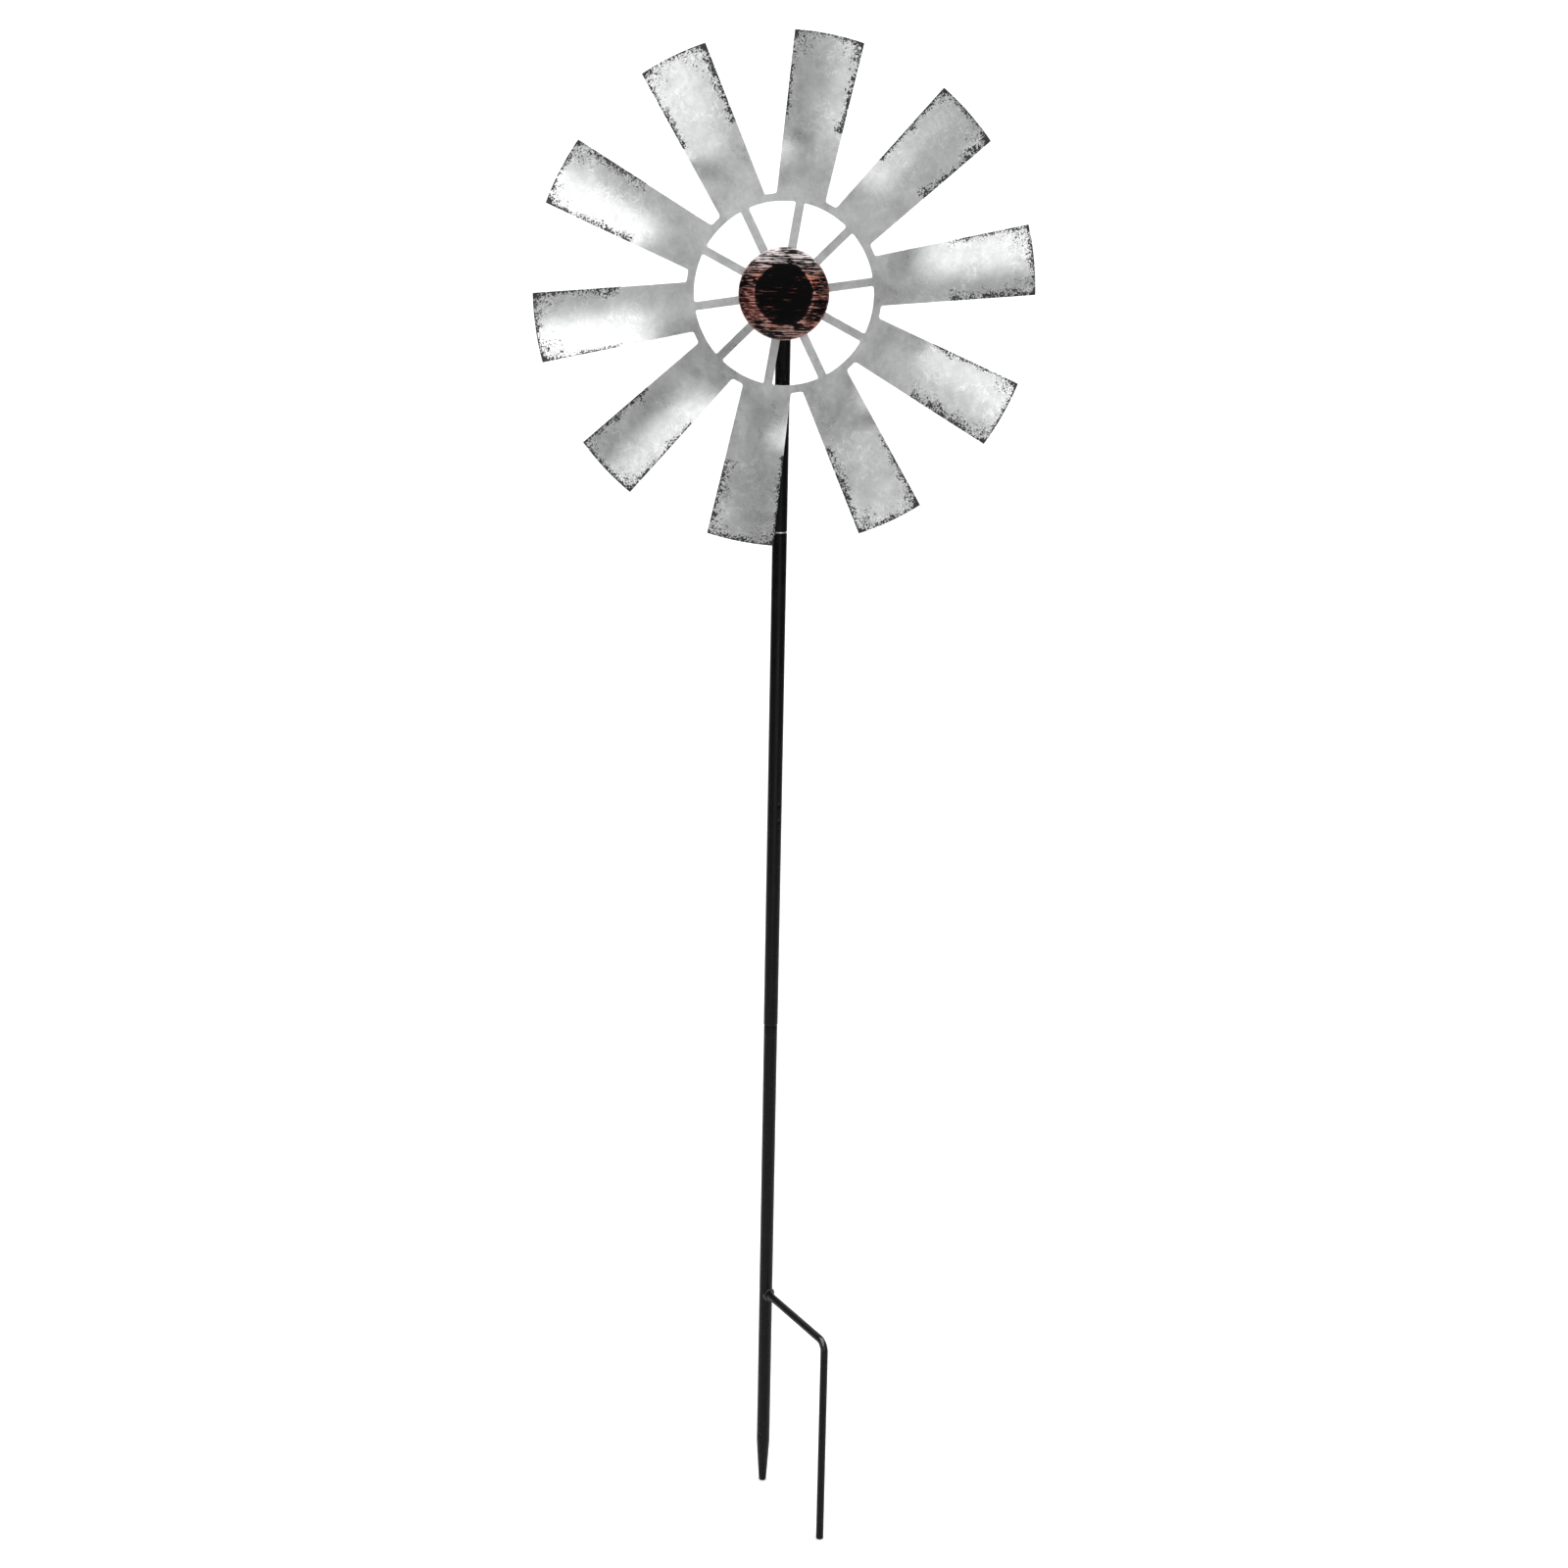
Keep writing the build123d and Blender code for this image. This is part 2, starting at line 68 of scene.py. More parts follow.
bolt_low, bolt_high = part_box("axle_bolt")
AXLE = Vector((0.0, 0.0, (bolt_low.z + bolt_high.z) / 2))
SHEET_BACK = -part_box("rotor")[1].y          # how far the sheet stands ahead of the pole's axis
DOME_FRONT = -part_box("hub_dome")[0].y
DOME_BACK = -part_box("hub_dome")[1].y
DOME_R = (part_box("hub_dome")[1].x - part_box("hub_dome")[0].x) / 2
FLOOR_Z = cad_box[0][2]

# ---- The wheel's sheet, in millimetres ---------------------------------------------------------

SHEET = 0.9
BLADES = 10
PITCH = 360 / BLADES        # degrees from one blade to the next
FIRST_BLADE = 80.7          # degrees from +X, seen from the front
TIP_RADIUS = 242.0
RING_INNER = 86.7
RING_OUTER = 94.3
HUB_PLATE_R = 40.0
HUB_HOLE_R = 12.0
SPOKE_HALF = 4.15
ROOT_HALF = 23.8
TIP_HALF = 33.25
NOTCH_ROUND = 2.8
WINDOW_ROUND = 1.8
LEAN = math.radians(9.9)    # how far a blade's anticlockwise side leans forward
BEND_START = -0.9           # across a blade, the lean grows between these parts of the half chord
BEND_END = 0.6
ROOT_R = 97.0               # along a blade, it grows from nothing here
CURL_R = 152.0              # to the whole of it here
WAVE = 0.25                 # unevenness of the pressed sheet, and its length
WAVE_LENGTH = 55
GRID = 3.0                  # spacing of the mesh
NOTCH_GRID = 0.7            # and round the small arcs
WINDOW_GRID = 0.5
HOLE_GRID = 2.0
EDGE_ROUND = 0.2            # rounding of the sheet's cut edges
SIDE_SLOPE = math.atan((TIP_HALF - ROOT_HALF) / (TIP_RADIUS - RING_OUTER))

# Wear, as ranges to draw from: how far it reaches in, where it starts along a blade, and how far
# the solid black and the thick specks reach from a corner.
SIDE_BAND_ANTICLOCKWISE = (5.0, 9.0)
SIDE_BAND_CLOCKWISE = (8.0, 15.0)
TIP_BAND = (5.0, 9.0)
WEAR_STARTS = (148.0, 166.0)
CORNER_BLACK = (4.0, 11.0)
CORNER_THICK = (24.0, 36.0)
WEAR_UNEVEN = 0.9           # share by which the reach changes, and over what length
WEAR_LENGTH = 14


def half_chord(reach):
    """Half the blade's width at a distance along it."""
    return ROOT_HALF + (reach - RING_OUTER) * math.tan(SIDE_SLOPE)


# ---- Materials ---------------------------------------------------------------------------------


class Nodes:
    """A material's node tree, with short calls for the nodes that these materials use."""

    def __init__(self, name):
        self.material = bpy.data.materials.new(name)
        self.material.use_nodes = True
        self.tree = self.material.node_tree
        self.shader = self.tree.nodes["Principled BSDF"]
        self.place = self.tree.nodes.new("ShaderNodeTexCoord").outputs["Object"]

    def add(self, kind, **values):
        node = self.tree.nodes.new(kind)
        for key, value in values.items():
            setattr(node, key, value)
        return node

    def link(self, source, target):
        self.tree.links.new(source, target)

    def stretched(self, scale):
        """Object coordinates scaled per axis."""
        mapping = self.add("ShaderNodeMapping")
        mapping.inputs["Scale"].default_value = scale
        self.link(self.place, mapping.inputs["Vector"])
        return mapping.outputs["Vector"]

    def noise(self, scale, detail=3.0, rough=0.5, where=None, warp=0.0):
        """Cloudy noise, mostly between 0.2 and 0.8."""
        node = self.add("ShaderNodeTexNoise")
        node.inputs["Scale"].default_value = scale
        node.inputs["Detail"].default_value = detail
        node.inputs["Roughness"].default_value = rough
        node.inputs["Distortion"].default_value = warp
        self.link(where or self.place, node.inputs["Vector"])
        return node.outputs["Fac"]

    def cells(self, scale, where):
        """A shade for each crystal-like cell."""
        node = self.add("ShaderNodeTexVoronoi")
        node.inputs["Scale"].default_value = scale
        self.link(where, node.inputs["Vector"])
        return node.outputs["Color"]

    def attribute(self, name):
        """A value stored on the mesh's vertices, or 0 on a mesh that has none."""
        return self.add("ShaderNodeAttribute", attribute_name=name).outputs["Fac"]

    def math(self, operation, first, second=0.0):
        node = self.add("ShaderNodeMath", operation=operation)
        for socket, value in zip(node.inputs, (first, second)):
            if isinstance(value, (int, float)):
                socket.default_value = value
            else:
                self.link(value, socket)
        return node.outputs[0]

    def span(self, value, low, high, to_low=0.0, to_high=1.0, smooth=True):
        """A value mapped from one range to another, clamped."""
        kind = "SMOOTHSTEP" if smooth else "LINEAR"
        node = self.add("ShaderNodeMapRange", interpolation_type=kind)
        sockets = ("From Min", "From Max", "To Min", "To Max")
        for socket, number in zip(sockets, (low, high, to_low, to_high)):
            node.inputs[socket].default_value = number
        self.link(value, node.inputs["Value"])
        return node.outputs["Result"]

    def mix(self, share, first, second):
        """Two colours mixed by a share."""
        node = self.add("ShaderNodeMix", data_type="RGBA")
        factor, colour_a, colour_b = node.inputs[0], node.inputs[6], node.inputs[7]
        self.link(share, factor)
        for socket, value in ((colour_a, first), (colour_b, second)):
            if isinstance(value, tuple):
                socket.default_value = (*value, 1.0)
            else:
                self.link(value, socket)
        return node.outputs[2]         # the colour result

    def bump(self, height, distance, strength):
        node = self.add("ShaderNodeBump")
        node.inputs["Distance"].default_value = distance
        node.inputs["Strength"].default_value = strength
        self.link(height, node.inputs["Height"])
        self.link(node.outputs["Normal"], self.shader.inputs["Normal"])

    def set(self, **values):
        """Shader sockets by name: a number or colour is set, a node's output is linked."""
        for key, value in values.items():
            socket = self.shader.inputs[key.replace("_", " ")]
            if isinstance(value, (int, float)):
                socket.default_value = value
            elif isinstance(value, tuple):
                socket.default_value = (*value, 1.0)
            else:
                self.link(value, socket)


def pole_paint():
    """Semi-gloss black paint with a fine orange peel and thin dust."""
    n = Nodes("pole_paint")
    clean, dusty = (0.0016, 0.0016, 0.0018), (0.0045, 0.0045, 0.005)
    dust = n.span(n.noise(35, 4.0, 0.6), 0.5, 0.8)
    n.set(Base_Color=n.mix(dust, clean, dusty))
    gloss = n.attribute("gloss")            # paint pools at the weld and shines at the bend
    rough = n.span(n.noise(60, 3.0), 0.3, 0.7, 0.24, 0.34)
    n.set(Roughness=n.math("SUBTRACT", rough, n.math("MULTIPLY", gloss, 0.16)))
    n.set(Specular_IOR_Level=n.span(gloss, 0.0, 1.0, 0.12, 0.9))
    n.bump(n.noise(420, 2.0), 0.00006, 0.35)
    return n.material


def galvanised():
    """Galvanised sheet: cloudy tone, feathery crystals and black specks near worn edges."""
    n = Nodes("galvanised_sheet")
    speck_black = (0.008, 0.008, 0.008)
    wear = n.attribute("wear")
    outer = n.span(n.attribute("reach"), 0.10, 0.17, 0.2, 1.0)     # crystals show on the blades

    cloud = n.noise(14, 4.0, 0.6, warp=0.5)
    blotch = n.noise(60, 4.0, 0.6, warp=1.2)
    mottle = n.noise(190, 3.0, 0.65, warp=0.8)
    spangle = n.cells(190, n.stretched((1.0, 1.0, 0.7)))
    grain = n.noise(800, 2.0, 0.6)
    tone = n.span(cloud, 0.32, 0.7, 0.555, 0.65)
    tone = n.math("ADD", tone, n.span(blotch, 0.3, 0.7, -0.042, 0.042))
    tone = n.math("ADD", tone, n.span(grain, 0.3, 0.7, -0.02, 0.02))
    tone = n.math("ADD", tone, n.span(mottle, 0.35, 0.7, -0.025, 0.035))

    # Feathers: thin curved strokes where a warped noise crosses its middle value, in patches.
    strokes = None
    for scale, warp, patch_scale in ((48, 2.2, 26), (85, 1.6, 34)):
        warped = n.noise(scale, 2.0, 0.5, warp=warp)
        crossing = n.math("ABSOLUTE", n.math("SUBTRACT", warped, 0.5))
        patches = n.span(n.noise(patch_scale, 2.0), 0.46, 0.60)
        stroke = n.math("MULTIPLY", n.span(crossing, 0.034, 0.006), patches)
        strokes = n.math("MAXIMUM", strokes, stroke) if strokes else stroke
    strokes = n.math("MULTIPLY", strokes, n.span(spangle, 0.2, 0.8, 0.35, 1.0))
    strokes = n.math("MULTIPLY", strokes, outer)
    tone = n.math("ADD", tone, n.math("MULTIPLY", strokes, 0.17))
    worn = n.math("MULTIPLY", n.span(wear, 0.0, 0.5), n.span(grain, 0.35, 0.65, -0.17, 0.17))
    tone = n.math("ADD", tone, worn)
    metal = n.add("ShaderNodeCombineColor")
    for socket, tint in (("Red", 0.99), ("Green", 0.997), ("Blue", 1.0)):
        n.link(n.math("MULTIPLY", tone, tint), metal.inputs[socket])

    # Specks that crowd together towards a worn edge and close up at the corners.
    specks = n.noise(620, 2.5, 0.65, warp=0.3)
    specks = n.math("ADD", specks, n.span(n.noise(150, 2.0, 0.5), 0.3, 0.7, -0.05, 0.05))
    limit = n.span(wear, 0.0, 1.0, 0.69, 0.41, smooth=False)
    limit = n.math("SUBTRACT", limit, n.span(n.attribute("corner"), 0.0, 1.0, 0.0, 0.38))
    black = n.span(n.math("SUBTRACT", specks, limit), -0.008, 0.008)
    black = n.math("MULTIPLY", black, n.span(wear, 0.0, 0.04))

    n.set(Base_Color=n.mix(black, metal.outputs["Color"], speck_black))
    n.set(Metallic=n.span(black, 0.0, 1.0, 0.94, 0.0))
    rough = n.span(cloud, 0.3, 0.7, 0.27, 0.33)
    rough = n.math("ADD", rough, n.span(spangle, 0.0, 1.0, -0.01, 0.015))
    n.set(Roughness=n.math("ADD", rough, n.math("MULTIPLY", black, 0.15)))
    relief = n.math("ADD", n.math("MULTIPLY", blotch, 0.5), n.math("MULTIPLY", grain, 0.3))
    relief = n.math("ADD", relief, n.math("MULTIPLY", strokes, 0.08))
    n.bump(n.math("ADD", relief, n.math("MULTIPLY", black, 0.4)), 0.00014, 0.35)
    return n.material


def dome_paint():
    """Black paint brushed over copper in level strokes: solid in the middle, thin on the shoulder,
    with a painted highlight on the copper at the top and a painted reflection of the floor on it at
    the bottom.
    """
    n = Nodes("dome_paint")
    black = (0.0009, 0.0006, 0.0006)
    deep_red, dull_red, middle_red = (0.16, 0.032, 0.022), (0.34, 0.13, 0.10), (0.16, 0.05, 0.045)
    orange, pale = (0.46, 0.115, 0.050), (0.52, 0.40, 0.37)
    # Painted light: a paler brown for a painted reflection of the floor at the bottom and a grey for a
    # painted highlight at the top.
    painted_floor_reflection_brown, painted_highlight_grey = (0.22, 0.165, 0.15), (0.40, 0.35, 0.35)
    radial = n.attribute("radial")          # metres from the axle
    height = n.attribute("height")          # -1 at the lowest point to 1 at the top
    long = n.noise(1.0, 2.0, 0.6, n.stretched((34.0, 34.0, 860.0)), warp=0.2)
    short = n.noise(1.0, 2.0, 0.6, n.stretched((150.0, 150.0, 1350.0)), warp=0.3)
    patch = n.noise(46, 2.0, 0.5, warp=0.6)
    edge = n.math("ADD", radial, n.span(n.noise(55, 2.0), 0.3, 0.7, -0.0012, 0.0012))

    # Where the paint wears: all over the shoulder, along the ridge and round the rim.
    shoulder = n.span(edge, 0.0270, 0.0300)
    ridge = n.math("MULTIPLY", n.span(edge, 0.0274, 0.0286), n.span(edge, 0.0310, 0.0292))
    rim = n.span(radial, 0.0422, 0.0432)
    strokes = n.math("ADD", n.math("MULTIPLY", long, 0.6), n.math("MULTIPLY", short, 0.4))
    worn = n.math("ADD", n.math("MULTIPLY", shoulder, 0.105), n.math("MULTIPLY", ridge, 0.045))
    worn = n.math("ADD", worn, n.math("MULTIPLY", rim, 0.12))
    worn = n.math("ADD", worn, n.span(patch, 0.35, 0.65, -0.05, 0.035))
    kept_top = n.math("MULTIPLY", n.span(height, 0.4, 0.8, 0.0, -0.03), shoulder)
    worn = n.math("ADD", worn, kept_top)
    bare = n.span(n.math("ADD", strokes, worn), 0.60, 0.645)

    copper = n.mix(n.span(n.noise(60, 2.0), 0.42, 0.60), deep_red, dull_red)
    copper = n.mix(n.span(n.noise(34, 1.0), 0.56, 0.66), copper, orange)
    copper = n.mix(n.span(short, 0.52, 0.68, 0.0, 0.8), copper, pale)
    # Painted reflection: towards the bottom the copper turns a paler brown, standing in for the bright
    # floor below.
    copper = n.mix(n.span(height, -0.45, -0.85, 0.0, 0.7), copper, painted_floor_reflection_brown)
    # Painted highlight: towards the top the copper turns pale grey, where the overhead lights fall on
    # the shoulder.
    copper = n.mix(n.span(height, 0.30, 0.75), copper, painted_highlight_grey)
    copper = n.mix(shoulder, middle_red, copper)
    n.set(Base_Color=n.mix(bare, black, copper))
    n.set(Metallic=n.math("MULTIPLY", bare, 0.92))
    n.set(Roughness=n.span(strokes, 0.3, 0.7, 0.30, 0.38), Specular_IOR_Level=0.05)
    relief = n.math("MULTIPLY", strokes, n.span(radial, 0.024, 0.029, 0.3, 1.0))
    n.bump(relief, 0.0010, 1.0)
    return n.material


def plated(name, tone, tint, low, high):
    """Bare or plated steel with faint turning marks, its roughness patchy between low and high."""
    n = Nodes(name)
    patch = n.noise(220, 4.0, 0.6)
    fine = n.noise(1.0, 3.0, 0.6, n.stretched((300.0, 2600.0, 300.0)))
    dark = tuple(tone * part * 0.8 for part in tint)
    light = tuple(tone * part for part in tint)
    n.set(Base_Color=n.mix(n.span(patch, 0.35, 0.65), dark, light))
    n.set(Roughness=n.span(patch, 0.3, 0.7, low, high), Metallic=1.0)
    n.bump(fine, 0.00004, 0.3)
    return n.material


def moulded(name, dark, light, rough):
    """Moulded plastic with a fine texture."""
    n = Nodes(name)
    swing = 0.05
    n.set(Base_Color=n.mix(n.noise(300, 3.0), dark, light))
    n.set(Roughness=n.span(n.noise(700, 2.0), 0.3, 0.7, rough - swing, rough + swing))
    n.bump(n.noise(1800, 2.0), 0.00003, 0.4)
    return n.material


materials = {
    "pole_paint": pole_paint(),
    "galvanised_sheet": galvanised(),
    "dome_paint": dome_paint(),
    "bare_zinc": plated("bare_zinc", 0.72, (1.0, 0.98, 0.93), 0.24, 0.40),
    "bearing_steel": plated("bearing_steel", 0.66, (1.0, 1.0, 1.0), 0.10, 0.20),
    "cage_steel": plated("cage_steel", 0.50, (1.0, 0.98, 0.94), 0.28, 0.42),
    "black_plastic": moulded("black_plastic", (0.012, 0.012, 0.012), (0.02, 0.02, 0.02), 0.45),
    "nylon": moulded("nylon", (0.05, 0.13, 0.42), (0.07, 0.17, 0.5), 0.4),
}

# ---- Mesh helpers ------------------------------------------------------------------------------


def make_object(name, vertices, faces, body, slot, attributes=None, angle=40.0):
    """A mesh in metres with its material, smooth where its faces meet at less than the angle."""
    mesh = bpy.data.meshes.new(name)
    mesh.from_pydata([tuple(point) for point in vertices], [], faces)
    mesh.validate()
    for key, values in (attributes or {}).items():
        layer = mesh.attributes.new(key, "FLOAT", "POINT")
        layer.data.foreach_set("value", np.asarray(values, np.float32))
    mesh.shade_smooth()
    mesh.set_sharp_from_angle(angle=math.radians(angle))
    mesh.materials.append(materials[slot])
    piece = bpy.data.objects.new(name, mesh)
    bpy.context.scene.collection.objects.link(piece)
    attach(piece, body)
    return piece


def wheel_point(right, up, ahead):
    """Millimetres in the wheel's plane, and ahead of the pole's axis, as a point in the frame."""
    return Vector((right * MM, -ahead * MM, AXLE.z + up * MM))


def lathe(profile, segments):
    """Vertices and faces of a closed profile of (ahead, radius) pairs turned round the axle."""
    vertices = []
    for step in range(segments):
        turn = 2 * math.pi * step / segments
        for ahead, radius in profile:
            vertices.append(wheel_point(radius * math.cos(turn), radius * math.sin(turn), ahead))
    count = len(profile)
    faces = []
    for step in range(segments):
        following = (step + 1) % segments
        for index in range(count):
            beside = (index + 1) % count
            faces.append((step * count + index, step * count + beside,
                          following * count + beside, following * count + index))
    return vertices, faces


def arc(centre, radius, start, end, spacing):
    """Points along an arc between two angles in radians, ends included."""
    steps = max(2, math.ceil(abs(end - start) * radius / spacing))
    x, y = centre
    turns = [start + (end - start) * step / steps for step in range(steps + 1)]
    return [(x + radius * math.cos(turn), y + radius * math.sin(turn)) for turn in turns]


def straight(first, last, spacing):
    """Points along a line, the last one left out."""
    steps = max(1, math.ceil(math.dist(first, last) / spacing))
    return [tuple(np.add(first, np.subtract(last, first) * step / steps)) for step in range(steps)]


def turned_by(points, degrees):
    """Points turned anticlockwise about the wheel's centre."""
    cos, sin = math.cos(math.radians(degrees)), math.sin(math.radians(degrees))
    return [(x * cos - y * sin, x * sin + y * cos) for x, y in points]


# ---- The wheel's sheet -------------------------------------------------------------------------


def blade_side():
    """The rounded notch and side of a blade that lies along +X, from the ring to the tip corner."""
    along = np.array((math.cos(SIDE_SLOPE), math.sin(SIDE_SLOPE)))
    outwards = np.array((-math.sin(SIDE_SLOPE), math.cos(SIDE_SLOPE)))
    offset = np.dot((RING_OUTER, ROOT_HALF), outwards)
    centre_out = offset + NOTCH_ROUND
    centre_along = math.sqrt((RING_OUTER + NOTCH_ROUND) ** 2 - centre_out * centre_out)
    centre = along * centre_along + outwards * centre_out
    on_ring = math.atan2(-centre[1], -centre[0])
    on_side = math.atan2(-outwards[1], -outwards[0])
    notch = arc(centre, NOTCH_ROUND, on_ring, on_side, NOTCH_GRID)
    tip_along = math.sqrt(TIP_RADIUS ** 2 - offset ** 2)
    corner = tuple(along * tip_along + outwards * offset)
    return notch, corner


def outer_outline():
    """The sheet's outline, once round all the blades, anticlockwise."""
    notch, corner = blade_side()
    foot = math.atan2(notch[0][1], notch[0][0])
    tip = math.atan2(corner[1], corner[0])
    mirrored = [(x, -y) for x, y in notch]
    low_corner = (corner[0], -corner[1])
    one = mirrored + straight(mirrored[-1], low_corner, GRID)[1:]
    one += arc((0, 0), TIP_RADIUS, -tip, tip, GRID)
    one += straight(corner, notch[-1], GRID)[1:] + notch[::-1]
    one += arc((0, 0), RING_OUTER, foot, 2 * math.pi / BLADES - foot, GRID)[1:-1]
    outline = []
    for blade in range(BLADES):
        outline += turned_by(one, FIRST_BLADE + PITCH * blade)
    return outline


def windows():
    """The openings between the spokes, each anticlockwise."""
    centre_up = SPOKE_HALF + WINDOW_ROUND
    centre = (math.sqrt((RING_INNER - WINDOW_ROUND) ** 2 - centre_up ** 2), centre_up)
    lean = math.atan2(centre[1], centre[0])
    corner = arc(centre, WINDOW_ROUND, -math.pi / 2, lean, WINDOW_GRID)
    pitch = 2 * math.pi / BLADES
    spoke_root = math.sqrt(HUB_PLATE_R ** 2 - SPOKE_HALF ** 2)
    hub_turn = math.atan2(SPOKE_HALF, spoke_root)
    side = straight((spoke_root, SPOKE_HALF), corner[0], GRID)
    other = turned_by([(x, -y) for x, y in (side + corner)][::-1], math.degrees(pitch))
    one = side + corner + arc((0, 0), RING_INNER, lean, pitch - lean, GRID)[1:-1] + other
    one += arc((0, 0), HUB_PLATE_R, pitch - hub_turn, hub_turn, GRID)[1:-1]
    return [turned_by(one, FIRST_BLADE + PITCH * blade) for blade in range(BLADES)]


def grown(loop, distance):
    """A closed loop moved sideways to its right, point by point."""
    points = np.array(loop)
    ahead = np.roll(points, -1, axis=0) - points
    ahead /= np.linalg.norm(ahead, axis=1)[:, None]
    behind = np.roll(ahead, 1, axis=0)
    both = ahead + behind
    both /= np.linalg.norm(both, axis=1)[:, None]
    right = np.stack((both[:, 1], -both[:, 0]), axis=1)
    stretch = 1 / np.maximum(0.5, (both * ahead).sum(axis=1))
    return points + right * (distance * stretch)[:, None]


def inside(points, loops):
    """Whether each point lies in the sheet: inside an odd number of loops."""
    crossings = np.zeros(len(points), int)
    for loop in loops:
        first, last = loop, np.roll(loop, -1, axis=0)
        for (x0, y0), (x1, y1) in zip(first, last):
            if y0 == y1:
                continue
            spans = (points[:, 1] > min(y0, y1)) & (points[:, 1] <= max(y0, y1))
            x = x0 + (points[:, 1] - y0) * (x1 - x0) / (y1 - y0)
            crossings += spans & (points[:, 0] < x)
    return crossings % 2 == 1


def clear_of(points, loops, gap):
    """Whether each point keeps the gap from every loop's points."""
    border = np.concatenate(loops)
    keep = np.ones(len(points), bool)
    block_size = 2000                       # so that the table of distances stays small
    for start in range(0, len(points), block_size):
        block = points[start:start + block_size]
        distance = np.linalg.norm(block[:, None] - border[None], axis=2).min(axis=1)
        keep[start:start + block_size] = distance > gap
    return keep


def blade_terms(x, y):
    """For a point of the wheel: its blade's number, distance along the blade and across it."""
    turn = math.degrees(math.atan2(y, x)) - FIRST_BLADE
    nearest = round(turn / PITCH)
    aside = math.radians(turn - nearest * PITCH)
    reach = math.hypot(x, y)
    return nearest % BLADES, reach * math.cos(aside), reach * math.sin(aside)


def smooth(share):
    """A share held between 0 and 1 and eased at both ends."""
    share = min(1.0, max(0.0, share))
    return share * share * (3 - 2 * share)


def curl(x, y):
    """How far the sheet comes forward: each blade curls towards its anticlockwise side."""
    blade, along, across = blade_terms(x, y)
    ramp = smooth((along - ROOT_R) / (CURL_R - ROOT_R))
    half = half_chord(along)
    bend = BEND_END - BEND_START
    share = (across / half - BEND_START) / bend
    eased = min(1.0, max(0.0, share))
    rise = bend * (eased ** 3 - eased ** 4 / 2 + max(0.0, share - 1))
    wave = noise.noise(Vector((x / WAVE_LENGTH, y / WAVE_LENGTH, 3.0 + blade))) * WAVE
    return ramp * (math.tan(LEAN) * half * rise + wave)


def sheet_wear(x, y):
    """How worn the sheet is near a blade's sides and tip, and near its outer corners, 0 to 1."""
    blade, along, across = blade_terms(x, y)
    # Each side of each blade has its own seed, so all its points draw the same values.
    draw = random.Random(31 * blade + (7 if across > 0 else 3))
    side_band = draw.uniform(*(SIDE_BAND_ANTICLOCKWISE if across > 0 else SIDE_BAND_CLOCKWISE))
    tip_band = draw.uniform(*TIP_BAND)
    begins = draw.uniform(*WEAR_STARTS)
    patch = Vector((x / WEAR_LENGTH, y / WEAR_LENGTH, 8.0 + blade))
    uneven = 1.0 + WEAR_UNEVEN * noise.noise(patch)
    side_gap = (half_chord(along) - abs(across)) * math.cos(SIDE_SLOPE)
    tip_gap = TIP_RADIUS - math.hypot(x, y)
    started = smooth((along - begins + 1.5) / 3.0)
    side = started * max(0.0, 1 - side_gap / (side_band * uneven))
    tip = max(0.0, 1 - tip_gap / (tip_band * uneven))
    to_corner = math.hypot(side_gap, tip_gap)
    corner = max(0.0, 1 - to_corner / draw.uniform(*CORNER_BLACK))
    near = max(0.0, 1 - to_corner / draw.uniform(*CORNER_THICK)) * 0.75
    return max(side, tip, near), corner


